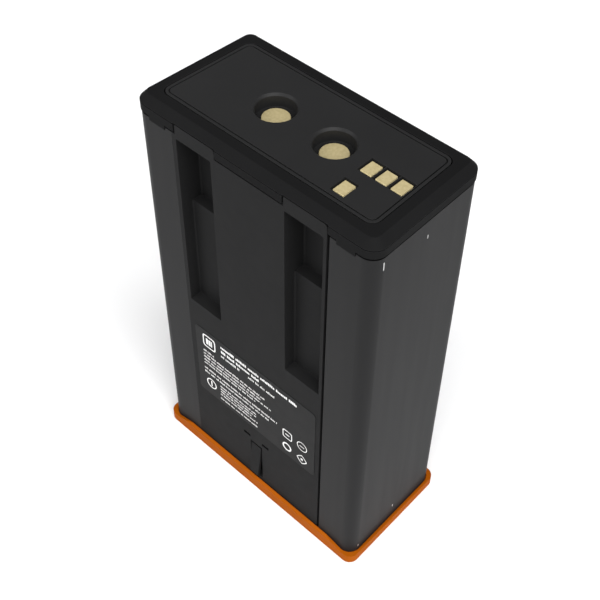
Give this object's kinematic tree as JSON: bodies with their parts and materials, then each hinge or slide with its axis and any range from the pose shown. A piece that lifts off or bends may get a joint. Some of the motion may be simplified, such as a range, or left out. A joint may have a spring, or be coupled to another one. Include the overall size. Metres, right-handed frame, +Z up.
{
  "type": "slide-in battery pack",
  "caption": "Tall box-shaped battery pack: sleeve with a slotted front panel, capped top with sunk power contacts and signal pads, soft base bumper and a press-in latch finger.",
  "frame": {"origin": "middle of the underside, on the surface that the pack stands on", "axes": "+Z up towards the contacts, +X along the wide side, -Y out of the slotted front"},
  "size_m": [0.1516, 0.0776, 0.25],
  "materials": {
    "shell": "black anodised, satin",
    "panel_plastic": "fine moulded grain",
    "cap_plastic": "fine moulded grain",
    "plate_plastic": "smooth moulded",
    "label_film": "printed film",
    "gold_contact": "gold plated",
    "bumper_rubber": "soft moulded",
    "gasket_rubber": "soft",
    "bright_steel": "plated",
    "dark_steel": "blackened",
    "circuit_board": "solder mask",
    "holder_plastic": "moulded",
    "cell_sleeve": "shrink sleeve",
    "nickel": "rolled",
    "copper_bar": "rolled copper",
    "fuse_body": "moulded",
    "chip_plastic": "moulded",
    "ribbon_film": "film",
    "insulation_paper": "pressed paper",
    "foam": "closed-cell foam"
  },
  "bodies": {
    "pack": {"shell": "shell", "locking_keys": "bright_steel", "front_panel": "panel_plastic", "label_plate": "label_film", "top_cap": "cap_plastic", "contact_plate": "plate_plastic", "power_contact_negative": "gold_contact", "power_contact_positive": "gold_contact", "signal_contacts": "gold_contact", "base_bumper": "bumper_rubber", "base_screws": "dark_steel", "latch_clip": "dark_steel", "contact_board": "circuit_board", "board_screws": "bright_steel", "plate_gasket": "gasket_rubber", "cap_gasket": "gasket_rubber", "base_plate": "cap_plastic", "tie_rods": "bright_steel", "tie_nuts": "bright_steel", "tier_spacers": "holder_plastic", "busbar_negative": "copper_bar", "busbar_positive": "copper_bar", "strap_negative": "copper_bar", "strap_positive": "copper_bar", "main_fuse": "fuse_body", "bms_board": "circuit_board", "bms_spacers": "holder_plastic", "bms_parts": "chip_plastic", "sense_ribbon": "ribbon_film", "signal_flex": "ribbon_film", "thermistors": "chip_plastic", "insulation_foot": "insulation_paper", "insulation_head": "insulation_paper", "foam_pad_foot": "foam", "foam_pad_head": "foam", "cells_lower": "cell_sleeve", "holder_lower_foot": "holder_plastic", "holder_lower_head": "holder_plastic", "nickel_plates_lower": "nickel", "cells_middle": "cell_sleeve", "holder_middle_foot": "holder_plastic", "holder_middle_head": "holder_plastic", "nickel_plates_middle": "nickel", "cells_upper": "cell_sleeve", "holder_upper_foot": "holder_plastic", "holder_upper_head": "holder_plastic", "nickel_plates_upper": "nickel"},
    "latch": {"latch_finger": "panel_plastic"}
  },
  "joints": [
    {"name": "latch_press", "type": "hinge", "parent": "pack", "child": "latch", "pos_m": [0, -0.0331, 0.03975], "axis": [1, 0, 0], "range_deg": [0, 4.2], "stiffness_Nm_per_rad": 1.5}
  ]
}
